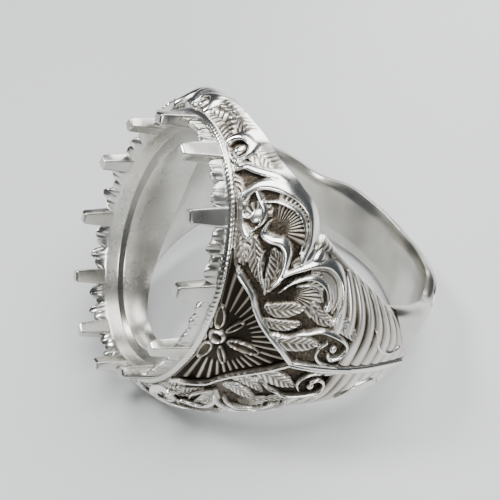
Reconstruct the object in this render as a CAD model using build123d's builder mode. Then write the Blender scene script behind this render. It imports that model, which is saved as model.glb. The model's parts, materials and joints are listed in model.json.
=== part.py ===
from build123d import *
import os
from math import atan2, cos, degrees, pi, radians, sin

# A silver ring mount for an oval cabochon: a plain band, two carved wings that widen from it
# to an oval collar, a twisted wire round the collar, twelve claws and twelve leaf crests.
# The real mount is cast and soldered in one piece, so it is one solid.
# It is drawn in the ring's own directions: Y along the finger, Z out through the stone.
# Then it is laid on its side, as it lies on a table. Millimetres throughout.

# Finger hole and band
finger_bore = 19.8
band_wall = 1.4
band_half = 2.4
band_crown = 0.25
band_reach = 2.0

# Stone, its pocket and its ledge
stone_length = 18.0
stone_width = 13.0
stone_clearance = 0.2
seat_ledge = 1.0
seat_groove = 0.1
seat_height = 11.6
collar_wall = 0.9
collar_top = 12.8

# Twisted wire round the collar
wire_height = 12.2
wire_radius = 0.32
wire_round = 0.8
wire_shelf = 4.0

# Claws
claw_count = 12
claw_top = 15.0
claw_root_width = 1.3
claw_tip_width = 0.7
claw_root_depth = 0.85
claw_tip_depth = 0.55
claw_out = 0.1
claw_lean = 0.2
claw_bevel = 0.15

# Leaf crests between the claws; foot, bow, waist and notch are shares of half width or height
crest_height = 1.1
crest_width = 2.1
crest_depth = 0.6
crest_root = 0.4
crest_foot = 0.8
crest_bow = 0.35
crest_waist = 0.6
crest_notch = 0.2
crest_inset = 0.1

# Carved wings
wing_half = 11.6
wing_wall = 0.5
wing_crown = 3.2
relief = 0.4
scroll_stroke = 0.75
point_angle = 105.0
carving_share = 0.85
shoulder_half = 0.7
shoulder_drop = 0.34

# Steps and margins
scroll_steps = 8
overlap = 0.6
reach = 30.0

finger_radius = finger_bore / 2
pocket_x = stone_width / 2 + stone_clearance
pocket_y = stone_length / 2 + stone_clearance
collar_x = pocket_x + collar_wall
collar_y = pocket_y + collar_wall
carving_radius = finger_radius + carving_share * wing_crown
collar_foot = seat_height - seat_ledge
wire_foot = wire_height - wire_radius / 2

# Wing sections: angle from the stone, wall at the middle and at the edge, half width.
# Walls are shares of wing_crown and wing_wall, widths shares of wing_half.
# The dome has dropped by shoulder_drop of its height at shoulder_half of its half width.
WING_SECTIONS = (
    ("angle", "crown", "edge", "half"),
    (0, 1.12, 1.00, 1.03),
    (12, 1.46, 1.00, 1.02),
    (24, 1.62, 1.00, 0.96),
    (34, 1.48, 1.00, 0.89),
    (45, 1.28, 1.00, 0.78),
    (60, 1.06, 1.00, 0.61),
    (75, 0.86, 1.10, 0.49),
    (90, 0.72, 1.90, 0.38),
    (110, 0.66, 3.40, 0.30),
)

# Edge of the wing in two lobes, then straight to its point: angle, share of wing_half
FRONT_LOBE = (
    ("angle", "half"),
    (0, 0.985),
    (12, 0.970),
    (24, 0.910),
    (35, 0.855),
    (44, 0.762),
    (48, 0.660),
)
BACK_LOBE = (
    ("angle", "half"),
    (50, 0.665),
    (60, 0.580),
    (70, 0.500),
    (79, 0.425),
    (88, 0.325),
)

# Edge of the plain band: angle, share of band_half
BAND_EDGE = (
    ("angle", "half"),
    (72, 1.70),
    (100, 1.42),
    (115, 1.20),
    (130, 0.94),
    (145, 1.12),
    (160, 1.08),
    (175, 1.00),
)

# Raised scrolls on each quarter wing: place of the eye, outer and inner radius, where the
# spiral starts, its turns (minus is clockwise) and the stroke as a share of scroll_stroke.
SCROLLS = (
    ("angle", "half", "outer", "inner", "start", "turns", "stroke"),
    (31, 0.68, 3.5, 0.6, 100, -1.00, 1.1),
    (57, 0.42, 3.2, 0.5, -84, 0.95, 0.9),
    (38.5, 0.48, 2.0, 0.5, -36, 0.72, 0.8),
    (66.5, 0.15, 2.6, 0.4, -65, 1.00, 0.7),
    (12, 0.89, 0.9, 0.4, -90, 0.80, 0.8),
)

# Raised leaves: two ends and the bow between them as a share of their distance
LEAVES = (
    ("angle_a", "half_a", "angle_b", "half_b", "bow", "stroke"),
    (28, 0.52, 56, 0.01, 0.01, 0.7),
    (14, 0.85, 40, 0.82, 0.06, 0.7),
    (47, 0.17, 60, 0.26, 0.04, 0.6),
    (64, 0.52, 74, 0.17, 0.16, 0.6),
    (69, 0.47, 79, 0.13, 0.14, 0.6),
    (75, 0.43, 86, 0.14, 0.10, 0.6),
    (79, 0.24, 92, 0.12, -0.14, 0.5),
    (56, 0.01, 98, 0.01, 0.02, 0.6),
)

# Flower: place on the wing, and the wing's wall there as a share of wing_crown
flower_angle = 36.0
flower_share = 1.42
flower_eye = 0.75
petal_count = 8
petal_length = 2.0
petal_width = 0.7


def rows(table):
    """Rows of a table as dictionaries by column name."""
    names = table[0]
    return [dict(zip(names, row)) for row in table[1:]]


def section_plane(angle):
    """Plane through the finger axis: x along the finger, y outward at this angle."""
    a = radians(angle)
    return Plane(origin=(0, 0, 0), x_dir=(0, 1, 0), z_dir=(cos(a), 0, -sin(a)))


def side_point(angle, half, radius):
    """Place on the side view: along the finger, then up towards the stone."""
    return (half, radius * cos(radians(angle)))


def edge_points(table, width, radius):
    """Edge of a wing or band in the side view."""
    return [side_point(r["angle"], r["half"] * width, radius) for r in rows(table)]


def scroll_points(scroll):
    """Points along a scroll that tightens towards its eye, on the side view."""
    eye_half = scroll["half"] * wing_half
    shrink = scroll["inner"] / scroll["outer"]
    count = round(abs(scroll["turns"]) * scroll_steps)
    found = []
    for i in range(count + 1):
        size = scroll["outer"] * shrink ** (i / count)
        a = radians(scroll["start"]) + 2 * pi * scroll["turns"] * i / count
        angle = scroll["angle"] + degrees(size * sin(a) / carving_radius)
        found.append(side_point(angle, eye_half + size * cos(a), carving_radius))
    return found


def leaf_points(leaf):
    """Both ends of a leaf and its middle, which the bow moves to one side."""
    a = side_point(leaf["angle_a"], leaf["half_a"] * wing_half, carving_radius)
    b = side_point(leaf["angle_b"], leaf["half_b"] * wing_half, carving_radius)
    across = (a[1] - b[1], b[0] - a[0])
    middle = tuple((a[i] + b[i]) / 2 + across[i] * leaf["bow"] for i in (0, 1))
    return a, middle, b


def both_wings():
    """Section rows from one wing's point over the stone to the other's."""
    ahead = rows(WING_SECTIONS)
    behind = [dict(r, angle=-r["angle"]) for r in ahead[:0:-1]]
    return behind + ahead


def wing_body(low, lift):
    """Both wings before their profile is cut: flat at radius low, domed outside, raised by lift."""
    with BuildPart() as body:
        for row in both_wings():
            half = row["half"] * wing_half
            edge = finger_radius + row["edge"] * wing_wall + lift
            crown = finger_radius + row["crown"] * wing_crown + lift
            side = shoulder_half * half
            shoulder = crown - shoulder_drop * (crown - edge)
            with BuildSketch(section_plane(row["angle"])):
                with BuildLine():
                    Line((-half, low), (half, low))
                    Line((half, low), (half, edge))
                    top = ThreePointArc((side, shoulder), (0, crown), (-side, shoulder))
                    TangentArc(top @ 0, (half, edge), tangent=-(top % 0))
                    TangentArc(top @ 1, (-half, edge), tangent=top % 1)
                    Line((-half, edge), (-half, low))
                make_face()
        loft()
    return body.part


def oval_place(share, half_x, half_y, height):
    """Plane on an oval: x along it, y away from the stone, z up. share is part of a turn."""
    a = 2 * pi * share
    out = Vector(sin(a) / half_x, cos(a) / half_y, 0).normalized()
    origin = (half_x * sin(a), half_y * cos(a), height)
    return Plane(origin=origin, x_dir=(out.Y, -out.X, 0), z_dir=(0, 0, 1))


# Profile of the wings from the side: two lobes on each side and the point on the band
edge_radius = finger_radius + wing_wall
front_edge = edge_points(FRONT_LOBE, wing_half, edge_radius)
back_edge = edge_points(BACK_LOBE, wing_half, edge_radius)
point = side_point(point_angle, 0, edge_radius)
with BuildSketch(Plane.YZ) as wing_outline:
    with BuildLine():
        Line((0, reach), (wing_half, reach))
        Line((wing_half, reach), front_edge[0])
        Spline(*front_edge)
        Line(front_edge[-1], back_edge[0])
        Spline(*back_edge)
        Line(back_edge[-1], point)
        Line(point, (0, reach))
    make_face()
    mirror(about=Plane.YZ)

# Profile of the plain band from the side, up to where the wings cover it
band_edge = edge_points(BAND_EDGE, band_half, finger_radius + band_wall)
with BuildSketch(Plane.YZ) as band_outline:
    with BuildLine():
        Line((0, band_edge[0][1]), band_edge[0])
        Spline(*band_edge)
        Line(band_edge[-1], (band_edge[-1][0], -reach))
        Line((band_edge[-1][0], -reach), (0, -reach))
        Line((0, -reach), (0, band_edge[0][1]))
    make_face()
    mirror(about=Plane.YZ)

# Wings, arched across and thickest beside the collar
with BuildPart() as wings:
    add(wing_body(finger_radius - overlap, 0))
    extrude(wing_outline.sketch, amount=reach, both=True, mode=Mode.INTERSECT)

# Plain band, slightly crowned
with BuildPart() as band:
    with BuildSketch(Plane.YZ):
        with BuildLine():
            low = finger_radius - overlap
            edge = finger_radius + band_wall - band_crown
            crown = finger_radius + band_wall
            side = band_reach * band_half
            Line((-side, low), (side, low))
            Line((side, low), (side, edge))
            ThreePointArc((side, edge), (0, crown), (-side, edge))
            Line((-side, edge), (-side, low))
        make_face()
    revolve(axis=Axis.Y)
    extrude(band_outline.sketch, amount=reach, both=True, mode=Mode.INTERSECT)

# Carving on the side view: scrolls, leaves and a flower beside the collar
with BuildSketch(Plane.YZ) as carving_pattern:
    for scroll in rows(SCROLLS):
        with BuildLine():
            Spline(*scroll_points(scroll))
        trace(line_width=scroll["stroke"] * scroll_stroke)
    for leaf in rows(LEAVES):
        with BuildLine():
            ThreePointArc(*leaf_points(leaf))
        trace(line_width=leaf["stroke"] * scroll_stroke)
    mirror(about=Plane.YZ)

# The same pattern raised over the wings, with its foot inside them
with BuildPart() as carving:
    add(wing_body(finger_radius + wing_wall / 2, relief))
    extrude(carving_pattern.sketch, amount=reach, both=True, mode=Mode.INTERSECT)

# Flower on each wing beside the collar: an eye in a round of petals
with BuildPart() as flowers:
    for side in (-1, 1):
        a = radians(side * flower_angle)
        out = Vector(sin(a), 0, cos(a))
        face = Plane(origin=out * (finger_radius + overlap), x_dir=(0, 1, 0), z_dir=out)
        with BuildSketch(face):
            Circle(flower_eye)
            with PolarLocations(flower_eye / 2 + petal_length / 2, petal_count):
                Rectangle(petal_length, petal_width)
        extrude(amount=flower_share * wing_crown + relief - overlap)

# Oval collar with its wire
with BuildPart() as collar:
    with BuildSketch(Plane.XY.offset(collar_foot)):
        Ellipse(collar_x, collar_y)
    extrude(amount=collar_top - collar_foot)
with BuildPart() as wire:
    with BuildSketch(Plane.XY.offset(wire_height - wire_radius)):
        Ellipse(collar_x + wire_radius, collar_y + wire_radius)
    extrude(amount=2 * wire_radius)
    fillet(wire.edges().filter_by(GeomType.ELLIPSE), radius=wire_round * wire_radius)

# Claws, tapered and leaning in over the stone, each with a bevelled end
CLAW_SECTIONS = (
    ("height", "lean", "width", "depth"),
    (wire_height, 0, claw_root_width, claw_root_depth),
    (claw_top - claw_bevel, claw_lean, claw_tip_width, claw_tip_depth),
    (claw_top, claw_lean, claw_tip_width - 2 * claw_bevel, claw_tip_depth - 2 * claw_bevel),
)
with BuildPart() as claws:
    for i in range(claw_count):
        for row in rows(CLAW_SECTIONS):
            inset = claw_root_depth / 2 - claw_out + row["lean"]
            with BuildSketch(oval_place((i + 0.5) / claw_count, collar_x - inset, collar_y - inset, row["height"])):
                Rectangle(row["width"], row["depth"])
        loft(ruled=True)

# Leaf crests, two horns each, between the claws
with BuildPart() as crests:
    for i in range(claw_count):
        inset = crest_depth + crest_inset
        foot = oval_place(i / claw_count, collar_x - inset, collar_y - inset, collar_top)
        upright = Plane(origin=foot.origin, x_dir=foot.x_dir, z_dir=-foot.y_dir)
        with BuildSketch(upright):
            with BuildLine():
                half = crest_width / 2
                foot_half = crest_foot * half
                notch = (0, crest_notch * crest_height)
                bow = (-crest_bow * half, crest_waist * crest_height)
                Polyline((0, -crest_root), (-foot_half, -crest_root), (-foot_half, 0), (-half, crest_height))
                ThreePointArc((-half, crest_height), bow, notch)
                Line(notch, (0, -crest_root))
            make_face()
            mirror(about=Plane.YZ)
        extrude(amount=-crest_depth)

# The whole casting, with the stone's pocket, the window below it and the finger hole.
# A fine groove parts the ledge from the pocket's wall.
with BuildPart() as casting:
    add(wings.part)
    add(carving.part)
    add(flowers.part)
    with BuildSketch(Plane.XY.offset(wire_foot)):
        Ellipse(collar_x + wire_shelf * wire_radius, collar_y + wire_shelf * wire_radius)
    extrude(amount=reach, mode=Mode.SUBTRACT)
    add(band.part)
    add(collar.part)
    add(wire.part)
    with BuildSketch(Plane.XY.offset(seat_height - seat_groove)):
        Ellipse(pocket_x, pocket_y)
    extrude(amount=reach, mode=Mode.SUBTRACT)
    with BuildSketch(Plane.XY.offset(seat_height - seat_groove)):
        Ellipse(pocket_x - seat_groove, pocket_y - seat_groove)
    extrude(amount=seat_groove)
    with BuildSketch(Plane.XY):
        Ellipse(pocket_x - seat_ledge, pocket_y - seat_ledge)
    extrude(amount=reach, mode=Mode.SUBTRACT)
    add(claws.part)
    add(crests.part)
    with BuildSketch(Plane.XZ):
        Circle(finger_radius)
    extrude(amount=reach, both=True, mode=Mode.SUBTRACT)

# Laid on its side: it touches with the wings' widest edge and with the back of the band.
# Flakes without volume, where two scrolls only touch, are left behind.
band_back = finger_radius + band_wall
lie_angle = max(degrees(atan2(half - band_half, height + band_back)) for half, height in front_edge)
whole = casting.part.solids().sort_by(SortBy.VOLUME)[-1]
laid = whole.rotate(Axis.X, 90 - lie_angle)
box = laid.bounding_box()
with BuildPart() as ring_setting:
    with Locations((-box.center().X, -box.center().Y, -box.min.Z)):
        add(laid)

ring_setting.part.label = "ring_setting"
os.makedirs("parts", exist_ok=True)
export_step(ring_setting.part, "parts/ring_setting.step")

# Places that fasten: centre of the finger hole, and the ledge that the stone sits on
turn = radians(90 - lie_angle)
hole = (-box.center().X, -box.center().Y, -box.min.Z)
ledge = (hole[0], hole[1] - seat_height * sin(turn), hole[2] + seat_height * cos(turn))
print("finger hole centre", [round(v, 3) for v in hole], "axis", [0, round(cos(turn), 5), round(sin(turn), 5)])
print("ledge centre", [round(v, 3) for v in ledge], "normal", [0, round(-sin(turn), 5), round(cos(turn), 5)])
print("solids", len(ring_setting.part.solids()), "volume", round(ring_setting.part.volume, 1))
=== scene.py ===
import json
from math import radians

import bpy
import numpy as np
from mathutils import Matrix, Vector


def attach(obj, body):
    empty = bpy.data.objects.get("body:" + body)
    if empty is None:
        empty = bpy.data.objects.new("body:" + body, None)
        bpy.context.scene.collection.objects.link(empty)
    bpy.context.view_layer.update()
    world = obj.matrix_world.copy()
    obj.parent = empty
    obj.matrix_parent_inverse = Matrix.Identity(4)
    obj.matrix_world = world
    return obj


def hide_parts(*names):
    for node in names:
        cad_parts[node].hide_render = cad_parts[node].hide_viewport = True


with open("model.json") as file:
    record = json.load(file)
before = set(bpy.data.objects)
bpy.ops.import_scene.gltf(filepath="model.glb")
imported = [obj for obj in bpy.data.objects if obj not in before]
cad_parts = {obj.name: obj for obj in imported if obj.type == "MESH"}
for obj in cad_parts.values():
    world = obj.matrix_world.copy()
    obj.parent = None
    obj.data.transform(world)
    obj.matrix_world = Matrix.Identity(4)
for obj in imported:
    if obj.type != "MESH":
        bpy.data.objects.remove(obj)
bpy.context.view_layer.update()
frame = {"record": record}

# The ring's own directions, in millimetres: X across, Y along the finger, Z out through the stone.
# Places on the wings are an angle from Z towards X, in degrees, and a distance along the finger.
# The first row of a table names its columns.

# Sizes that the solid has too
finger_radius = 9.9
band_wall = 1.4
band_half = 2.4
band_crown = 0.25
pocket_x = 6.7
collar_x, collar_y = 7.6, 10.1
window_x, window_y = 5.7, 8.2
seat_height = 11.6
collar_foot = 10.6
collar_top = 12.8
wire_height = 12.2
wire_radius = 0.32
claw_count = 12
claw_top = 15.0
claw_root = (1.3, 0.85)
claw_tip = (0.7, 0.55)
claw_out = 0.1
claw_lean = 0.2
crest_height = 1.1
wing_half = 11.6
wing_wall = 0.5
wing_crown = 3.2
point_angle = 105.0
lobe_split = 49.0

# Wing sections: walls as shares of wing_crown and wing_wall, widths as shares of wing_half
WING_SECTIONS = (
    ("angle", "crown", "edge", "half"),
    (0, 1.12, 1.00, 1.03),
    (12, 1.46, 1.00, 1.02),
    (24, 1.62, 1.00, 0.96),
    (34, 1.48, 1.00, 0.89),
    (45, 1.28, 1.00, 0.78),
    (60, 1.06, 1.00, 0.61),
    (75, 0.86, 1.10, 0.49),
    (90, 0.72, 1.90, 0.38),
    (110, 0.66, 3.40, 0.30),
)
dome_power = 3

# Edge of a wing in two lobes, as shares of wing_half. From the last row it runs straight to the point.
FRONT_LOBE = (
    ("angle", "half"),
    (0, 0.985),
    (12, 0.970),
    (24, 0.910),
    (35, 0.855),
    (44, 0.762),
    (48, 0.660),
)
BACK_LOBE = (
    ("angle", "half"),
    (50, 0.665),
    (60, 0.580),
    (70, 0.500),
    (79, 0.425),
    (88, 0.325),
)

# Edge of the band, as shares of band_half
BAND_EDGE = (
    ("angle", "half"),
    (72, 1.70),
    (100, 1.42),
    (115, 1.20),
    (130, 0.94),
    (145, 1.12),
    (160, 1.08),
    (180, 1.00),
)

# The carving, on one half of a wing: the other half mirrors it. Places are (angle, along).
FLOWER_BORDER = (
    (28.5, 5.9), (31, 5.25), (34.5, 4.7), (38.6, 4.0), (41, 3.2), (44, 2.4), (47, 1.8), (52, 0.9), (56, 0.12),
)
# Ribs: height, then half widths at the start, middle and end
RIBS = (
    ("height", "start", "middle", "end", "places"),
    # Large scroll beside the collar: its rim, the line inside it, its curl and the ridge to the eye
    (0.44, 0.20, 0.36, 0.24, (
        (31, 7.0), (27.5, 7.3), (25.3, 7.9), (24, 8.6), (25, 9.4), (28, 9.8),
        (33, 9.9), (37, 9.75), (41, 9.35), (44, 8.75), (46, 7.8), (46.5, 6.7))),
    (0.30, 0.07, 0.10, 0.07, (
        (29, 8.9), (32, 9.15), (35, 9.15), (38.5, 9.0), (41.5, 8.6), (43.8, 8.0), (44.6, 7.1))),
    (0.34, 0.05, 0.14, 0.05, ((25.5, 8.7), (25.6, 8.2), (27, 7.85), (28.6, 7.9))),
    (0.34, 0.07, 0.15, 0.07, ((26, 9.2), (28, 8.9), (30.6, 8.5), (31.8, 7.9), (31, 7.3))),
    # Hooked leaf between the scrolls
    (0.40, 0.08, 0.27, 0.12, (
        (33.3, 8.1), (33.6, 7.5), (36, 7.3), (39, 7.35), (41.4, 7.0), (42.6, 6.4), (43, 5.7), (42.3, 5.0))),
    (0.28, 0.06, 0.12, 0.06, ((36.2, 6.6), (36.6, 5.9), (38.8, 5.1), (41.6, 4.3))),
    # Border of the flower's field
    (0.38, 0.16, 0.20, 0.22, FLOWER_BORDER),
    # Second scroll: its rim and the double line inside it
    (0.42, 0.10, 0.24, 0.14, (
        (42.5, 5.0), (44, 5.8), (47, 6.35), (51, 6.75), (55.5, 6.75), (60, 6.2),
        (62.6, 5.3), (62.8, 4.3), (61.8, 3.6))),
    (0.34, 0.06, 0.15, 0.22, (
        (44.5, 4.7), (46.3, 5.4), (49.3, 5.9), (52.8, 5.95), (56.3, 5.6), (58.4, 5.0), (58.8, 4.5))),
    (0.26, 0.04, 0.07, 0.05, ((48, 5.35), (51, 5.55), (54.5, 5.35), (56.8, 4.8))),
    # Leaf edge that rolls into the first volute, the volute's stem, and the ridge to the middle rib
    (0.38, 0.06, 0.13, 0.16, (
        (47.5, 1.95), (51.5, 2.05), (54.5, 2.5), (56.5, 2.65), (60, 3.0), (64, 2.85),
        (68, 2.5), (70.2, 2.0), (69.6, 1.3), (67, 0.95), (65.4, 1.25))),
    (0.30, 0.08, 0.12, 0.05, ((63.2, 2.2), (61.8, 1.7), (62.2, 1.0), (65, 0.5), (71, 0.35))),
    (0.34, 0.14, 0.22, 0.20, ((56, 0.1), (61, 0.1), (66, 0.1), (71, 0.1), (76, 0.1))),
    # Curl near the point, and the middle rib
    (0.26, 0.06, 0.12, 0.12, ((79, 3.2), (81.5, 2.3), (84, 1.7), (87.5, 1.35), (91, 1.4), (93, 1.7))),
    (0.30, 0.20, 0.24, 0.12, ((75, 0.1), (82, 0.1), (90, 0.1), (100, 0.05))),
    # Top leaf over the large scroll and the curl at the collar's end
    (0.36, 0.08, 0.22, 0.07, ((10, 9.9), (15, 9.85), (21, 10.0), (28, 10.25), (35, 10.15), (40, 9.75))),
    (0.34, 0.06, 0.16, 0.06, ((20, 11.0), (25, 10.95), (31, 10.75), (37, 10.3), (42, 9.6))),
    (0.44, 0.16, 0.34, 0.16, (
        (19, 9.9), (16, 9.45), (12, 9.3), (9, 9.75), (8.6, 10.5), (11, 11.0),
        (14.5, 11.0), (16.6, 10.5), (15.6, 10.0))),
)

# Leaves: half width, height, strokes and their slant, then places from the root to the tip.
# The one without strokes is the smooth leaf in the second scroll's hollow.
LEAVES = (
    ("half", "height", "count", "slant", "places"),
    (0.55, 0.20, 7, 0.9, ((26, 7.2), (28.5, 6.9), (31, 6.6), (33, 5.8))),
    (0.50, 0.16, 4, 0.6, ((28, 6.4), (31, 6.0), (33.5, 5.4))),
    (0.62, 0.22, 6, 2.3, ((41.5, 4.6), (41.6, 5.4), (40.4, 6.2), (38, 6.8))),
    (0.70, 0.22, 7, 1.5, ((48, 1.3), (53, 1.5), (57.5, 1.75), (61, 1.9))),
    (0.42, 0.20, 6, 1.5, ((44.6, 2.6), (47.4, 2.5), (50.5, 2.7), (53.5, 3.1))),
    (0.55, 0.20, 6, 1.7, ((43.6, 3.5), (46.6, 3.5), (49.5, 3.8), (52.5, 4.1))),
    (0.45, 0.22, 6, 1.7, ((16, 10.5), (20, 10.5), (25, 10.5), (30, 10.5))),
    (0.50, 0.22, 5, 1.7, ((62.5, 3.8), (65.5, 3.5), (69, 3.1), (72.5, 2.5))),
    (0.40, 0.22, 5, 1.1, ((44.5, 6.4), (48, 7.1), (52, 7.3), (56, 7.1))),
    (0.50, 0.14, 6, 1.7, ((32.5, 6.9), (34.5, 6.2), (36.5, 5.6), (38.5, 4.9))),
    (0.45, 0.14, 5, 1.7, ((54.5, 4.5), (57, 3.9), (60, 3.6), (63.5, 3.6))),
    (0.40, 0.12, 6, 1.7, ((23.5, 7.2), (24, 6.6), (26, 6.2), (28.5, 5.7))),
    (0.42, 0.14, 6, 1.5, ((13, 9.0), (17, 8.9), (21, 8.7), (24.5, 8.0))),
    (0.70, 0.26, 8, 0.9, ((-8, 10.6), (-3, 10.5), (3, 10.5), (8, 10.3))),
    (0.40, 0.20, 10, 1.9, ((14, 11.1), (20, 10.8), (27, 10.3), (34, 9.9))),
    (0.35, 0.16, 7, 1.7, ((2, 11.3), (7, 11.2), (12, 11.2), (17, 11.0))),
    (0.45, 0.06, 0, 0, ((50.5, 6.3), (54.5, 6.3), (58.3, 5.9), (60.8, 5.1), (60.9, 4.2))),
)

# Fans of strokes about an eye: reach in millimetres, directions in degrees
FANS = (
    ("eye", "inner", "outer", "first", "last", "count"),
    ((36.2, 7.7), 0.5, 2.4, -10, 125, 13),
    ((47.5, 4.6), 0.35, 2.1, -30, 60, 9),
    ((29.6, 8.0), 0.2, 0.9, 20, 200, 7),
)

# Pearls, the eyes of scrolls and the bud on the wing's edge
PEARLS = (
    ("radius", "height", "place"),
    (0.42, 0.20, (29.9, 8.1)),
    (0.30, 0.34, (58.9, 4.5)),
    (0.28, 0.30, (66.2, 1.75)),
    (0.50, 0.36, (47.0, 7.0)),
    (0.46, 0.32, (50.4, 6.95)),
    (0.34, 0.34, (13.2, 10.3)),
)

# Petals of the half flower beside the collar: direction from the point, reach and half width
PETALS = (
    ("direction", "start", "end", "half"),
    (0, 0.6, 2.75, 0.40),
    (60, 0.65, 2.15, 0.24),
    (105, 0.6, 2.35, 0.40),
    (148, 0.7, 1.9, 0.36),
)

# Millimetres of surface for a degree about the finger
degree_length = 0.235


def table_rows(table):
    """Rows of a table as dictionaries by column name."""
    names = table[0]
    return [dict(zip(names, row)) for row in table[1:]]


def smooth(at, table, column):
    """Reads a named column of a table at any angle, on a smooth curve through its rows."""
    angles = np.array([row["angle"] for row in table_rows(table)], float)
    values = np.array([row[column] for row in table_rows(table)], float)
    slope = np.gradient(values, angles)
    at = np.clip(at, angles[0], angles[-1])
    i = np.clip(np.searchsorted(angles, at) - 1, 0, len(angles) - 2)
    step = angles[i + 1] - angles[i]
    t = (at - angles[i]) / step
    ease = t * t * (3 - 2 * t)
    start = (t**3 - 2 * t * t + t) * step * slope[i]
    end = (t**3 - t * t) * step * slope[i + 1]
    return values[i] * (1 - ease) + values[i + 1] * ease + start + end


def wing_edge(angle):
    """Distance along the finger of a wing's edge."""
    front = smooth(angle, FRONT_LOBE, "half")
    back = smooth(angle, BACK_LOBE, "half")
    last_angle, last = BACK_LOBE[-1]
    tip = last * np.clip((point_angle - angle) / (point_angle - last_angle), 0, 1)
    return wing_half * np.where(angle <= lobe_split, front, np.where(angle < last_angle, back, tip))


def band_edge(angle):
    """Distance along the finger of the band's edge."""
    return band_half * smooth(angle, BAND_EDGE, "half")


def wing_surface(angle, along):
    """Radius of a wing's outer surface before it is carved."""
    crown = finger_radius + wing_crown * smooth(angle, WING_SECTIONS, "crown")
    edge = finger_radius + wing_wall * smooth(angle, WING_SECTIONS, "edge")
    half = wing_half * smooth(angle, WING_SECTIONS, "half")
    return crown + (edge - crown) * np.minimum(1, np.abs(along) / half) ** dome_power


def flat_place(angle, along):
    """Angle and distance as millimetres on the unrolled wing."""
    return np.stack(np.broadcast_arrays(np.multiply(angle, degree_length), np.asarray(along, float)), -1)


def curve(places, steps):
    """A smooth line through a few places."""
    p = np.array([flat_place(*place) for place in places])
    p = np.vstack([2 * p[0] - p[1], p, 2 * p[-1] - p[-2]])
    found = []
    for i in range(1, len(p) - 2):
        for t in np.arange(steps) / steps:
            a = 2 * p[i] + (p[i + 1] - p[i - 1]) * t
            b = (2 * p[i - 1] - 5 * p[i] + 4 * p[i + 1] - p[i + 2]) * t * t
            c = (3 * p[i] - p[i - 1] - 3 * p[i + 1] + p[i + 2]) * t**3
            found.append((a + b + c) / 2)
    return np.array(found + [p[-2]])


def near_line(points, line, margin):
    """For points near a line: which they are, how far off, and how far along as a share."""
    low, high = line.min(0) - margin, line.max(0) + margin
    near = np.flatnonzero(np.all((points > low) & (points < high), axis=1))
    start, step = line[:-1], line[1:] - line[:-1]
    gap = points[near][:, None] - start[None]
    t = np.clip((gap * step).sum(2) / (step * step).sum(1), 0, 1)
    distance = np.linalg.norm(gap - t[..., None] * step, axis=-1)
    best = distance.argmin(1)
    pick = np.arange(len(near))
    return near, distance[pick, best], (best + t[pick, best]) / len(step)


stroke_roundness = 0.7


def strokes(phase):
    """Fine raised strokes, one for each whole number of phase."""
    return np.maximum(0, np.cos(2 * np.pi * phase)) ** stroke_roundness


# The ground lies this deep, with a fine stipple over part of it
ground_depth = 0.17
stipple_height = 0.05
stipple_share = 0.3

# Steps of a carved line between two places, and the margin around it in which points are looked for
line_steps = 8
line_margin = 0.1

# Leaves: a leaf's outline is part of a half wave, from root to tip. Its vein lies lower than its rim,
# which is rounder the lower leaf_rounding is, and its foot lies below the surface. Strokes crowd towards
# the tip, fade out towards the rim and stop beside the vein.
leaf_root = 0.10
leaf_tip = 0.96
leaf_fullness = 0.7
leaf_vein = 0.35
leaf_rounding = 6
leaf_foot = 0.10
leaf_crowding = 1.15
leaf_stroke_fade = 3
vein_half = 0.05
thinnest = 0.02

# Fans: they rise from their eye outwards, and their strokes bend by this part of a stroke per millimetre
fan_foot = 0.14
fan_rise = 0.16
fan_bend = 0.25
fan_fade_in = 8
fan_fade_sides = 12


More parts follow.
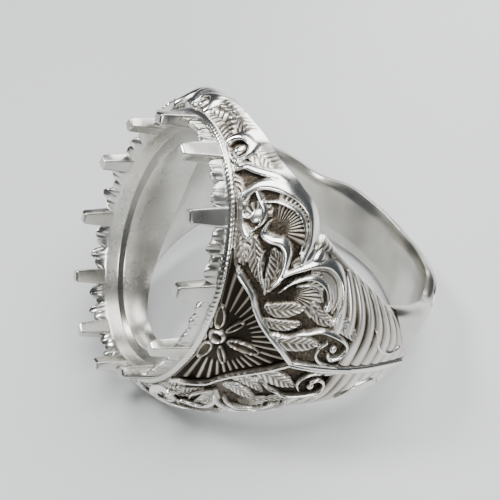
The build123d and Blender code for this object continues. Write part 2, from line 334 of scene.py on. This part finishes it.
class Relief:
    """Height of the carving over the unrolled wing, and where fine strokes cross it."""

    def __init__(self, points):
        self.points = points
        self.height = np.full(len(points), -ground_depth)
        self.phase = np.zeros(len(points))
        self.hatch = np.zeros(len(points))

    def lay(self, chosen, height, phase=None, hatch=None):
        """Raises the chosen points where height is above what is there, strokes and all."""
        above = height > self.height[chosen]
        chosen = chosen[above]
        self.height[chosen] = height[above]
        self.phase[chosen] = 0 if phase is None else phase[above]
        self.hatch[chosen] = 0 if hatch is None else hatch[above]

    def leaf(self, half, height, count, slant, places):
        """A leaf that dips along its vein, crossed by slanting strokes."""
        near, away, along = near_line(self.points, curve(places, line_steps), half + line_margin)
        wave = np.clip(leaf_root + (leaf_tip - leaf_root) * along, 0, 1)
        width = half * np.sin(np.pi * wave) ** leaf_fullness
        k = away / np.maximum(width, thinnest)
        inside = k < 1
        near, away, along, k = near[inside], away[inside], along[inside], k[inside]
        dish = leaf_vein + (1 - leaf_vein) * k
        rise = height * dish * np.sqrt(1 - k**leaf_rounding) - leaf_foot
        fade = np.clip(leaf_stroke_fade * (1 - k), 0, 1) * (away > vein_half)
        self.lay(near, rise, count * along**leaf_crowding - slant * k, fade)

    def fan(self, eye, inner, outer, first, last, count):
        """Strokes that spread from an eye."""
        away = self.points - flat_place(*eye)
        r = np.hypot(*away.T)
        turn = np.degrees(np.arctan2(away[:, 1], away[:, 0]))
        share = ((turn - first) % 360) / (last - first)
        inside = np.flatnonzero((r > inner) & (r < outer) & (share < 1))
        r, share = r[inside], share[inside]
        rise = fan_rise * (r - inner) / (outer - inner) - fan_foot
        sides = np.clip(fan_fade_sides * share, 0, 1) * np.clip(fan_fade_sides * (1 - share), 0, 1)
        fade = np.clip(fan_fade_in * (r - inner), 0, 1) * sides
        self.lay(inside, rise, share * count + fan_bend * r, fade)

    def rib(self, height, start, middle, end, places):
        """A round rib whose width changes along it."""
        widest = max(start, middle, end)
        near, away, along = near_line(self.points, curve(places, line_steps), widest + line_margin)
        outer = np.where(along < 0.5, start, end)
        k = away / (outer + (middle - outer) * np.sin(np.pi * along))
        inside = k < 1
        self.lay(near[inside], height * np.sqrt(1 - k[inside] ** 2))

    def pearl(self, radius, height, place):
        """A round bead."""
        k = np.hypot(*(self.points - flat_place(*place)).T) / radius
        inside = np.flatnonzero(k < 1)
        self.lay(inside, height * np.sqrt(1 - k[inside] ** 2))


# Flutes to the point: degrees apart, how far they trail at the edge, the angles where they begin beside
# the scroll and the volute, how far along the volute reaches, and how far from the middle they stay
flute_pitch = 4.2
flute_trail = 8.0
flute_scroll = 62.0
flute_volute = 70.5
volute_top = 2.9
flute_inside = 0.4
thinnest_wing = 0.1
# Their crests stand this high. They are deepest beside the scroll and fade over fade_length degrees up
# to fade_end, down to fade_least, and towards the middle.
flute_height = 0.12
flute_depth = 0.34
flute_roundness = 0.6
flute_sweep = 5
fade_end = 101
fade_length = 28
fade_least = 0.2
fade_middle = 0.35
fade_rise = 0.3


def flutes(relief):
    """Broad flutes that sweep from the second scroll to the point, parted by thin grooves."""
    angle, along = relief.points[:, 0] / degree_length, relief.points[:, 1]
    share = np.clip(along / np.maximum(wing_edge(angle), thinnest_wing), 0, 1)
    first = np.where(along > volute_top, flute_scroll, flute_volute)
    inside = np.flatnonzero((angle > first) & (along > flute_inside))
    angle, along, share = angle[inside], along[inside], share[inside]
    turn = (angle + flute_trail * share**flute_sweep) / flute_pitch
    groove = 1 - np.abs(np.sin(np.pi * turn)) ** flute_roundness
    fade = np.clip((fade_end - angle) / fade_length, fade_least, 1)
    fade *= np.clip(fade_middle + fade_rise * along, 0, 1)
    relief.lay(inside, flute_height - flute_depth * fade * groove)


# Half flower: where it lies, its dark field, the rays round it, a petal's raised outline and its eye.
# The very middle of a petal is left out, since the distance to its outline can't be worked out there.
flower_angle = 36.0
field_depth = 0.24
field_inset = 0.12
ray_degrees = 9
ray_start = 1.9
ray_start_fade = 0.2
ray_inset = 0.3
ray_inset_fade = 0.1
ray_strength = 1.7
border_steps = 6
petal_depth = 0.18
petal_middle = 0.01
outline_height = 0.30
outline_inset = 0.09
outline_width = 0.07
eye_radius = 0.56
eye_height = 0.44
eye_ring = 0.4
eye_ring_width = 0.13


def hump(distance, width):
    """A smooth hump, 1 at no distance."""
    return np.exp(-((distance / width) ** 2))


def petal(relief, r, turn, direction, start, end, half):
    """An oval with a raised outline."""
    a = np.radians(turn - direction)
    reach = (end - start) / 2
    s, d = r * np.cos(a) - start - reach, r * np.sin(a)
    k = np.hypot(s / reach, d / half)
    inside = np.flatnonzero((k > petal_middle) & (k < 1))
    s, d, k = s[inside], d[inside], k[inside]
    inset = (1 - k) * k / np.hypot(s / reach**2, d / half**2)
    relief.lay(inside, outline_height * hump(inset - outline_inset, outline_width) - petal_depth)


def flower(relief):
    """Half flower beside the collar, on a dark ground of fine rays."""
    points = relief.points
    away = points - flat_place(flower_angle, 0)
    aside = np.abs(points[:, 1])
    r = np.hypot(*away.T)
    turn = np.degrees(np.arctan2(aside, away[:, 0]))
    border = curve(FLOWER_BORDER, border_steps)
    edge = np.interp(points[:, 0], border[:, 0], border[:, 1], right=0)
    field = (aside < edge - field_inset) & (points[:, 0] < border[-1, 0])
    rays = np.clip((r - ray_start) / ray_start_fade, 0, 1)
    rays *= np.clip((edge - ray_inset - aside) / ray_inset_fade, 0, 1)
    relief.height[field] = -field_depth
    relief.phase[field] = turn[field] / ray_degrees
    relief.hatch[field] = ray_strength * rays[field]
    for row in table_rows(PETALS):
        petal(relief, r, turn, **row)
    eye = np.flatnonzero(r < eye_radius)
    relief.height[eye] = eye_height * hump(r[eye] - eye_ring, eye_ring_width) - field_depth
    relief.hatch[eye] = 0


def carving(points, seed):
    """The carving's relief at places on the unrolled wing."""
    noise = np.random.default_rng(seed)
    relief = Relief(points)
    relief.height += stipple_height * (noise.random(len(points)) > 1 - stipple_share)
    flutes(relief)
    for leaf in table_rows(LEAVES):
        relief.leaf(**leaf)
    for fan in table_rows(FANS):
        relief.fan(**fan)
    for pearl in table_rows(PEARLS):
        relief.pearl(**pearl)
    for rib in table_rows(RIBS):
        relief.rib(**rib)
    flower(relief)
    return relief


# Ring millimetres to scene metres
mounts = {m["name"]: m for m in frame["record"]["mounts"]}
hole_centre = np.array(mounts["finger_hole"]["pos_m"])
finger_axis = np.array(mounts["finger_hole"]["axis"])
stone_axis = np.array(mounts["stone_seat"]["axis"])
ring_axes = np.array([np.cross(finger_axis, stone_axis), finger_axis, stone_axis])


def placed(points):
    """Ring millimetres as scene metres."""
    return hole_centre + np.asarray(points) @ ring_axes / 1000


def ring_point(angle, along, radius):
    """A place by angle, distance along the finger and distance from the finger axis."""
    a = np.radians(angle)
    return np.stack(np.broadcast_arrays(radius * np.sin(a), along, radius * np.cos(a)), -1)


def oval_point(turn, half_x, half_y, height):
    """A place on an oval about the stone's axis. turn is in radians from the finger's direction."""
    return np.stack(np.broadcast_arrays(half_x * np.sin(turn), half_y * np.cos(turn), height), -1)


def make_piece(name, points, faces, material, sharp_angle, layers=None):
    """A mesh piece from ring millimetres, which stands for the cast solid.

    Its edges are sharp past sharp_angle degrees, and layers are numbers kept at its points.
    """
    spots = placed(points.reshape(-1, 3))
    # Nothing reaches below the table
    spots[:, 2] = np.maximum(spots[:, 2], 0)
    mesh = bpy.data.meshes.new(name)
    mesh.from_pydata(spots.tolist(), [], [face.tolist() for face in faces])
    mesh.validate()
    for key, values in (layers or {}).items():
        layer = mesh.attributes.new(key, "FLOAT", "POINT")
        layer.data.foreach_set("value", values.ravel().astype(np.float32))
    mesh.shade_smooth()
    mesh.set_sharp_from_angle(angle=radians(sharp_angle))
    piece = bpy.data.objects.new(name, mesh)
    bpy.context.scene.collection.objects.link(piece)
    mesh.materials.append(material)
    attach(piece, "root")
    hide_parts("ring_setting")
    return piece


def grid_faces(rows, columns, wrap_rows=False, wrap_columns=False, flip=False):
    """Four-sided faces over a grid of points."""
    i = np.arange(rows if wrap_rows else rows - 1)
    j = np.arange(columns if wrap_columns else columns - 1)
    i, j = [k.ravel() for k in np.meshgrid(i, j, indexing="ij")]
    i2, j2 = (i + 1) % rows, (j + 1) % columns
    faces = np.stack([i * columns + j, i2 * columns + j, i2 * columns + j2, i * columns + j2], 1)
    return faces[:, ::-1] if flip else faces


# Silver: fine marks and large soft patches, each by its noise's scale and detail
mark_noise = (420, 6)
patch_noise = (190, 2)
mark_roughness = (0.13, 0.33)
mark_strength = 0.12
mark_depth = 0.00005
# Plain silver from dull to clean patches
DULL_TO_CLEAN = (("at", "colour"), (0.30, (0.52, 0.51, 0.46)), (0.66, (0.84, 0.83, 0.79)))
# Carved silver from the black of the ground to the bright ridges; its black also paints a dark reflection on
# a wing's end slope over the band
DARK_TO_BRIGHT = (
    ("at", "colour"),
    (0.14, (0.022, 0.018, 0.014)),
    (0.90, (0.90, 0.89, 0.85)),
    (0.32, (0.085, 0.070, 0.052)),
    (0.57, (0.36, 0.33, 0.28)),
)
tarnish_spread = 0.80
tarnish_shift = -0.41
mark_stain = 0.18
stroke_contrast = 0.26
carved_roughness = (0.55, 0.20)


class Finish:
    """A metal material, the two noises that mark it and the nodes that feed its shader."""

    def __init__(self, name):
        self.material = bpy.data.materials.new(name)
        self.material.use_nodes = True
        self.nodes = self.material.node_tree.nodes
        self.links = self.material.node_tree.links
        self.shader = self.nodes["Principled BSDF"]
        self.shader.inputs["Metallic"].default_value = 1.0
        self.marks = self.noise(*mark_noise)
        self.patches = self.noise(*patch_noise)
        bump = self.nodes.new("ShaderNodeBump")
        bump.inputs["Strength"].default_value = mark_strength
        bump.inputs["Distance"].default_value = mark_depth
        self.links.new(self.marks, bump.inputs["Height"])
        self.links.new(bump.outputs["Normal"], self.shader.inputs["Normal"])

    def noise(self, scale, detail):
        """Noise fixed to the piece."""
        where = self.nodes.new("ShaderNodeTexCoord")
        node = self.nodes.new("ShaderNodeTexNoise")
        node.inputs["Scale"].default_value = scale
        node.inputs["Detail"].default_value = detail
        self.links.new(where.outputs["Object"], node.inputs["Vector"])
        return node.outputs["Fac"]

    def layer(self, name):
        """A number kept at the mesh's points."""
        node = self.nodes.new("ShaderNodeAttribute")
        node.attribute_name = name
        return node.outputs["Fac"]

    def math(self, operation, *values):
        """Arithmetic on numbers and other nodes' results."""
        node = self.nodes.new("ShaderNodeMath")
        node.operation = operation
        for socket, value in zip(node.inputs, values):
            if isinstance(value, bpy.types.NodeSocket):
                self.links.new(value, socket)
            else:
                socket.default_value = value
        return node.outputs["Value"]

    def roughness(self, value, low, high):
        """Roughness from low, where value is 0, to high, where it is 1."""
        node = self.nodes.new("ShaderNodeMapRange")
        node.inputs["To Min"].default_value = low
        node.inputs["To Max"].default_value = high
        self.links.new(value, node.inputs["Value"])
        self.links.new(node.outputs["Result"], self.shader.inputs["Roughness"])

    def colour(self, value, stops, shade=1.0):
        """Colour from a table of stops, whose first two rows are its ends."""
        node = self.nodes.new("ShaderNodeValToRGB")
        elements = node.color_ramp.elements
        for i, stop in enumerate(table_rows(stops)):
            element = elements[i] if i < 2 else elements.new(stop["at"])
            element.position = stop["at"]
            element.color = (*[shade * c for c in stop["colour"]], 1)
        self.links.new(value, node.inputs["Fac"])
        self.links.new(node.outputs["Color"], self.shader.inputs["Base Color"])


def plain_silver(name, rougher=0.0, shade=1.0):
    """Polished cast silver, faintly marked. Filed silver is a little rougher and darker."""
    finish = Finish(name)
    low, high = mark_roughness
    finish.roughness(finish.marks, low + rougher, high + rougher)
    finish.colour(finish.patches, DULL_TO_CLEAN, shade)
    return finish.material


def carved_silver(name):
    """Cast silver, dark and dull where the carving is deep, crossed by fine bright strokes."""
    finish = Finish(name)
    # Besides how proud the carving stands, the first layer holds a painted dark reflection on a wing's end
    # slope over the band
    proud_and_painted_reflection, phase, hatch = [finish.layer(key) for key in ("proud_and_painted_reflection", "phase", "hatch")]
    tarnish = finish.math("MULTIPLY_ADD", finish.patches, tarnish_spread, tarnish_shift)
    worn = finish.math("ADD", tarnish, proud_and_painted_reflection)
    stained = finish.math("MULTIPLY_ADD", finish.marks, mark_stain, worn)
    wave = finish.math("COSINE", finish.math("MULTIPLY", phase, 2 * np.pi))
    lines = finish.math("MULTIPLY", wave, hatch)
    finish.colour(finish.math("MULTIPLY_ADD", lines, stroke_contrast, stained), DARK_TO_BRIGHT)
    finish.roughness(proud_and_painted_reflection, *carved_roughness)
    return finish.material


polished = plain_silver("polished_silver")
filed = plain_silver("filed_silver", rougher=0.04, shade=0.82)
oxidised = carved_silver("oxidised_silver")

# Wings: a fine grid of angle by share of the width, whose columns gather towards the edges
wing_rows, wing_columns = ((235, 375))
edge_gather = 0.3
# The carving ends in a rim, which is rounded over
rim_height = 0.05
rim_reach = 0.256
rim_fade = 0.16
edge_round = 0.42
stroke_height = 0.07
# Relief that reads as black and as bright
dark_height = -0.26
bright_height = 0.26
# Under the wire the surface stays this far below it. Beneath the collar it is open, on the stone's side.
wire_gap = 0.1
collar_overlap = 0.35
open_above = 0.8 * finger_radius
# A wing's last row stops just short of the point. Over the band it ends in a slope, coloured black there as a
# painted dark reflection.
point_gap = 0.3
end_slope = 0.4
edge_foot = 0.15


def wing(side, name, seed, first, last):
    """One lobe of a carved wing, between two angles."""
    angle = np.linspace(first, last, wing_rows)[:, None]
    even = np.linspace(-1, 1, wing_columns)
    share = edge_gather * np.sin(even * np.pi / 2) + (1 - edge_gather) * even
    edge = wing_edge(angle)
    along = share * edge
    flat = flat_place(angle, np.abs(along)).reshape(-1, 2)
    relief = carving(flat, seed)
    height, phase, hatch = [v.reshape(along.shape) for v in (relief.height, relief.phase, relief.hatch)]
    inset = edge - np.abs(along)
    height += (np.maximum(height, rim_height) - height) * np.clip((rim_reach - inset) / rim_fade, 0, 1)
    rounding = edge_round * (1 - np.sqrt(1 - (1 - np.clip(inset / edge_round, 0, 1)) ** 2))
    radius = wing_surface(angle, along) + height + stroke_height * strokes(phase) * hatch - rounding
    outer = ring_point(angle, along, radius)
    outer[..., 2] = np.minimum(outer[..., 2], wire_height - wire_gap)

    # Foot of the edge: in the air beside the finger hole, or down the slope on the band
    over = (edge < band_edge(angle))[:, 0]
    out = edge[:, 0] + np.where(over, end_slope, 0)
    across = np.clip(out / band_edge(angle[:, 0]), 0, 1)
    foot = finger_radius + np.where(over, band_wall - band_crown * across**2, edge_foot)
    low = [ring_point(angle[:, 0], s * out, foot) for s in (-1, 1)]
    points = np.concatenate([low[0][:, None], outer, low[1][:, None]], axis=1) * [side, 1, 1]

    proud_and_painted_reflection = np.clip((height - dark_height) / (bright_height - dark_height), 0, 1)
    layers = {}
    for key, layer in (("proud_and_painted_reflection", proud_and_painted_reflection), ("phase", phase), ("hatch", hatch)):
        layers[key] = np.pad(layer, ((0, 0), (1, 1)), mode="edge")
    # Foot columns: black over the band, a painted dark reflection down the end slope; elsewhere the brightest
    # colour
    layers["proud_and_painted_reflection"][:, 0] = layers["proud_and_painted_reflection"][:, -1] = np.where(over, -1, 1)

    faces = grid_faces(wing_rows, wing_columns + 2, flip=side < 0)
    x, y, z = points.reshape(-1, 3)[faces].mean(1).T
    within = (x / (collar_x - collar_overlap)) ** 2 + (y / (collar_y - collar_overlap)) ** 2 < 1
    faces = faces[~(within & (z > open_above))]
    return make_piece(name, points, faces, oxidised, sharp_angle=50, layers=layers)


for side, side_name, seed in ((1, "near", 11), (-1, "far", 13)):
    wing(side, f"wing_{side_name}_front", seed, 0, lobe_split)
    wing(side, f"wing_{side_name}_back", seed + 1, lobe_split, point_angle - point_gap)

# Inside of a wing: its bevel at the edge, and how it dips behind the band's inside from dip_angle on
lining_end = 91
lining_bevel = 0.2
lining_dip = 0.04
dip_angle = 80
dip_length = 1.5
window_steps = 40
lining_steps = 65
lining_columns = 12


def wing_lining(side, name):
    """Plain inside of a wing, from the window under the stone to the band."""
    window_turn = np.linspace(0, np.pi / 2, window_steps)
    window = np.degrees(np.arcsin(window_x * np.sin(window_turn) / finger_radius))
    past = np.linspace(window[-1], lining_end, lining_steps + 1)[1:]
    angle = np.concatenate([window, past])[:, None]
    start = np.concatenate([window_y * np.cos(window_turn), np.zeros(len(past))])[:, None]
    share = np.linspace(0, 1, lining_columns)
    along = start + (wing_edge(angle) - lining_bevel - start) * share
    dip = lining_dip * np.clip((angle - dip_angle) / dip_length, 0, 1)
    rows, columns = len(angle), lining_columns + 1
    points, faces = [], []
    for half in (-1, 1):
        inner = ring_point(angle, half * along, finger_radius + dip)
        bevel = ring_point(angle, half * wing_edge(angle), finger_radius + lining_bevel)
        faces.append(grid_faces(rows, columns, flip=side * half < 0) + rows * columns * len(points))
        points.append(np.concatenate([inner, bevel], axis=1) * [side, 1, 1])
    return make_piece(name, np.concatenate(points), np.concatenate(faces), polished, sharp_angle=60)


wing_lining(1, "wing_near_inside")
wing_lining(-1, "wing_far_inside")

# Rounded side of the band from its inside up: inset from its edge, height as a share of its wall
BAND_SIDE = (
    ("inset", "up"),
    (0, 0.15),
    (0, 0.32),
    (0, 0.49),
    (0.03, 0.66),
    (0.10, 0.83),
    (0.25, 1.00),
)
band_first, band_last = 81, 279
band_steps = 240
band_outside_steps = 20
band_inside_steps = 10
# The inside is rounded off by this much beside its edges, and flatter in the middle for a larger power
band_inside_round = 0.12
band_inside_power = 8


def band():
    """Plain polished band, crowned outside and rounded at its edges."""
    angle = np.linspace(band_first, band_last, band_steps)[:, None]
    edge = band_edge(180 - np.abs(180 - angle))
    side_inset, side_up = np.array(BAND_SIDE[1:]).T
    across = np.linspace(-1, 1, band_outside_steps + 1)[1:-1]
    back = np.linspace(1, -1, band_inside_steps + 1)[1:-1]
    # Section from the inner edge over the outside and back: share across, inset, height
    sides, outside, inside = len(side_up), len(across), len(back)
    share = np.concatenate([np.full(sides, -1), across, np.full(sides, 1), back])
    rounding = band_inside_round * back**band_inside_power
    inset = np.concatenate([side_inset, np.zeros(outside), side_inset[::-1], rounding])
    up = np.concatenate([side_up, np.ones(outside), side_up[::-1], np.zeros(inside)])
    along = share * edge - np.sign(share) * inset
    radius = finger_radius + (band_wall - band_crown * share**2) * up
    faces = grid_faces(len(angle), len(share), wrap_columns=True)
    return make_piece("band", ring_point(angle, along, radius), faces, polished, sharp_angle=50)


band()

# Leaf tips in each gap between claws, as shares of the gap's width and of crest_height
CREST_TIPS = (
    ("middle", "half", "tall"),
    (0.24, 0.14, 0.66),
    (0.41, 0.12, 0.92),
    (0.59, 0.11, 0.55),
    (0.74, 0.15, 0.82),
)
tip_point = 2.2
tip_roundness = 0.65
# How far a tip strays along the gap and in height, and the low leaf between the tips
tip_stray = 0.03
tip_growth = (0.75, 1.05)
crest_seed = 7
crest_low = 0.18
crest_low_half = 0.36
crest_low_roundness = 0.3
# The tips curl outwards and are crossed by shallow lobes, which shift from one gap to the next
crest_curl = 0.34
lobe_middle = 0.75
lobe_swing = 0.35
lobes_per_gap = 9
lobe_shift = 0.35
# Crest from outside to inside: inset from the collar's outside, shares of the curl and of the
# leaf's rise, and height over the collar's top
CREST_PROFILE = (
    ("inset", "curl", "rise", "lift"),
    (0, 0, 0, -0.35),
    (0.12, 0.3, 0.35, 0),
    (0.22, 1, 1, -0.16),
    (0.30, 1, 1, -0.10),
    (0.42, 1, 1, -0.16),
    (0.62, 0.2, 0.35, 0),
)
# Inner edge of the wall, broken edges of the ledge, and how far the window's wall sinks into the ring
wall_round = (0.12, 0.05, 0.25)
ledge_inset = 0.06
ledge_lift = 0.08
window_sink = 0.02
collar_steps = 100


def gallery(gap):
    """Height of the leaf crests above the collar's wall, irregular as filed by hand.

    gap counts the gaps between claws, from the middle of one claw to the next.
    """
    noise = np.random.default_rng(crest_seed)
    number, place = np.floor(gap).astype(int) % claw_count, gap % 1
    rise = crest_low * np.clip(1 - np.abs(place - 0.5) / crest_low_half, 0, 1) ** crest_low_roundness
    for tip in table_rows(CREST_TIPS):
        middle = tip["middle"] + noise.uniform(-tip_stray, tip_stray, claw_count)[number]
        tall = tip["tall"] * noise.uniform(*tip_growth, claw_count)[number]
        k = np.abs(place - middle) / tip["half"]
        rise = np.maximum(rise, tall * np.clip(1 - k**tip_point, 0, 1) ** tip_roundness)
    return crest_height * rise


def collar():
    """Oval wall with its leaf crests, the ledge that the stone sits on and the window through it."""
    turn = np.linspace(0, 2 * np.pi, claw_count * collar_steps, endpoint=False)
    gap = turn * claw_count / (2 * np.pi) + 0.5
    rise = gallery(gap)
    phase = lobes_per_gap * gap + lobe_shift * np.floor(gap)
    lobes = lobe_middle + lobe_swing * np.cos(2 * np.pi * phase)
    curl = crest_curl * lobes * (rise / crest_height) ** 2
    window_foot = np.sqrt(finger_radius**2 - (window_x * np.sin(turn)) ** 2) - window_sink
    wall = collar_x - pocket_x
    seat = collar_x - window_x
    round_in, round_top, round_foot = wall_round
    profile = [(0, collar_foot)]
    for row in table_rows(CREST_PROFILE):
        height = collar_top + row["rise"] * rise + row["lift"]
        profile.append((row["inset"] - row["curl"] * curl, height))
    profile += [
        (wall - round_in, collar_top - round_top),
        (wall, collar_top - round_foot),
        (wall, seat_height + ledge_lift),
        (wall + ledge_inset, seat_height),
        (seat - ledge_inset, seat_height),
        (seat, seat_height - ledge_lift),
        (seat, window_foot),
    ]
    columns = [oval_point(turn, collar_x - inset, collar_y - inset, height) for inset, height in profile]
    faces = grid_faces(len(turn), len(columns), wrap_rows=True, flip=True)
    return make_piece("collar", np.stack(columns, axis=1), faces, filed, sharp_angle=45)


collar()

# Wire: how far it stands out of the collar's wall, and the twist of its strands
wire_out = 0.06
wire_twists = 95
twist_depth = 0.06
wire_steps = 1400
wire_sides = 12


def twisted_wire():
    """Twisted wire round the collar."""
    turn = np.linspace(0, 2 * np.pi, wire_steps, endpoint=False)[:, None]
    around = np.linspace(0, 2 * np.pi, wire_sides, endpoint=False)[None]
    strands = np.abs(np.cos(around - wire_twists * turn))
    radius = wire_radius * (1 - twist_depth + twist_depth * strands)
    out = wire_out + radius * np.cos(around)
    height = wire_height + radius * np.sin(around)
    points = oval_point(turn, collar_x + out, collar_y + out, height)
    faces = grid_faces(wire_steps, wire_sides, wrap_rows=True, wrap_columns=True)
    return make_piece("twisted_wire", points, faces, polished, sharp_angle=70)


twisted_wire()

# Claw sections from root to tip: height, and how far the bevel cuts in
CLAW_SECTIONS = (
    ("height", "cut"),
    (wire_height - 0.5, 0),
    (12.6, 0),
    (13.4, 0),
    (14.2, 0),
    (claw_top - 0.16, 0),
    (claw_top - 0.05, 0.06),
    (claw_top, 0.12),
)
# Filed flanks stand this much proud of the solid's
claw_swell = 0.08
# A section is a rectangle with rounded corners, rounder as this power is larger
claw_power = 0.2
claw_sides = 24
claw_end_rise = 0.01
# A claw's own lean in and swing aside, as left by hand
claw_lean_spread = 0.05
claw_swing_spread = 0.06
claw_seed = 40


def squared(wave):
    """A wave drawn out towards a square one."""
    return np.sign(wave) * np.abs(wave) ** claw_power


def claw(index):
    """Tapered bar with a bevelled end, leaning in over the stone."""
    noise = np.random.default_rng(claw_seed + index)
    lean = noise.uniform(-claw_lean_spread, claw_lean_spread) - claw_lean
    swing = noise.uniform(-claw_swing_spread, claw_swing_spread)
    turn = 2 * np.pi * (index + 0.5) / claw_count
    out = oval_point(turn, 1 / collar_x, 1 / collar_y, 0)
    out /= np.linalg.norm(out)
    aside = np.array([out[1], -out[0], 0])
    inset = claw_root[1] / 2 - claw_out
    root = oval_point(turn, collar_x - inset, collar_y - inset, 0)
    q = 2 * np.pi * (np.arange(claw_sides) + 0.5) / claw_sides
    x, y = squared(np.cos(q))[:, None], squared(np.sin(q))[:, None]
    sections = table_rows(CLAW_SECTIONS)
    foot = sections[0]["height"]
    rings = []
    for section in sections:
        t = (section["height"] - foot) / (claw_top - foot)
        spread = claw_swell - section["cut"]
        wide, deep = [(a + (b - a) * t) / 2 + spread for a, b in zip(claw_root, claw_tip)]
        centre = root + out * lean * t + aside * swing * t + [0, 0, section["height"]]
        rings.append(centre + wide * x * aside + deep * y * out)
    end = rings[-1].mean(0) + [0, 0, claw_end_rise]
    points = np.concatenate([*rings, end[None]])
    last = (len(rings) - 1) * claw_sides
    j = np.arange(claw_sides)
    cap = np.stack([last + (j + 1) % claw_sides, last + j, np.full(claw_sides, len(points) - 1)], 1)
    faces = [*grid_faces(len(rings), claw_sides, wrap_columns=True, flip=True), *cap]
    return make_piece(f"claw_{index + 1}", points, faces, filed, sharp_angle=28)


for index in range(claw_count):
    claw(index)


floor_half = 1.5
floor_colour = (0.60, 0.61, 0.62)
floor_roughness = 0.45


def floor():
    """Plain pale floor, in metres."""
    mesh = bpy.data.meshes.new("floor")
    corners = [(x * floor_half, y * floor_half, 0) for x, y in ((-1, -1), (1, -1), (1, 1), (-1, 1))]
    mesh.from_pydata(corners, [], [(0, 1, 2, 3)])
    piece = bpy.data.objects.new("floor", mesh)
    bpy.context.scene.collection.objects.link(piece)
    material = bpy.data.materials.new("pale_floor")
    material.use_nodes = True
    shader = material.node_tree.nodes["Principled BSDF"]
    shader.inputs["Base Color"].default_value = (*floor_colour, 1)
    shader.inputs["Roughness"].default_value = floor_roughness
    mesh.materials.append(material)


floor()

# Soft lights round the ring, in metres and watts
LIGHTS = (
    ("name", "place", "size", "power"),
    ("top", (0.03, 0.07, 0.28), 0.26, 1.5),
    ("key", (-0.10, -0.16, 0.26), 0.07, 0.8),
    ("fill", (0.26, -0.10, 0.14), 0.07, 0.3),
    ("rim", (-0.17, 0.20, 0.13), 0.16, 0.5),
)
ring_middle = (0, 0, 0.01)
sky_colour = (0.09, 0.10, 0.11)
sky_strength = 0.6


def soft_light(name, place, size, power):
    """Square soft light that looks at the ring."""
    light = bpy.data.lights.new(name, "AREA")
    light.shape = "SQUARE"
    light.size = size
    light.energy = power
    lamp = bpy.data.objects.new(name, light)
    bpy.context.scene.collection.objects.link(lamp)
    lamp.location = place
    lamp.rotation_euler = (Vector(ring_middle) - Vector(place)).to_track_quat("-Z", "Y").to_euler()


for row in table_rows(LIGHTS):
    soft_light(**row)

world = bpy.data.worlds.new("studio")
bpy.context.scene.world = world
world.use_nodes = True
sky = world.node_tree.nodes["Background"]
sky.inputs["Color"].default_value = (*sky_colour, 1)
sky.inputs["Strength"].default_value = sky_strength

# Camera: place, view direction and up in the ring's own directions, lens in millimetres
camera_place = (36.53, 30.26, 38.76)
camera_forward = (-0.625, -0.516, -0.586)
camera_up = (-0.641, 0.768, 0.008)
camera_lens = 55.7
camera_data = bpy.data.cameras.new("camera")
camera_data.lens = camera_lens
camera_data.sensor_width = 36
camera_data.clip_start = 0.005
camera = bpy.data.objects.new("camera", camera_data)
bpy.context.scene.collection.objects.link(camera)
back = -Vector(np.array(camera_forward) @ ring_axes).normalized()
right = Vector(np.array(camera_up) @ ring_axes).cross(back).normalized()
up = back.cross(right)
turned = Matrix((right, up, back)).transposed().to_4x4()
turned.translation = Vector(placed(camera_place))
camera.matrix_world = turned
bpy.context.scene.camera = camera
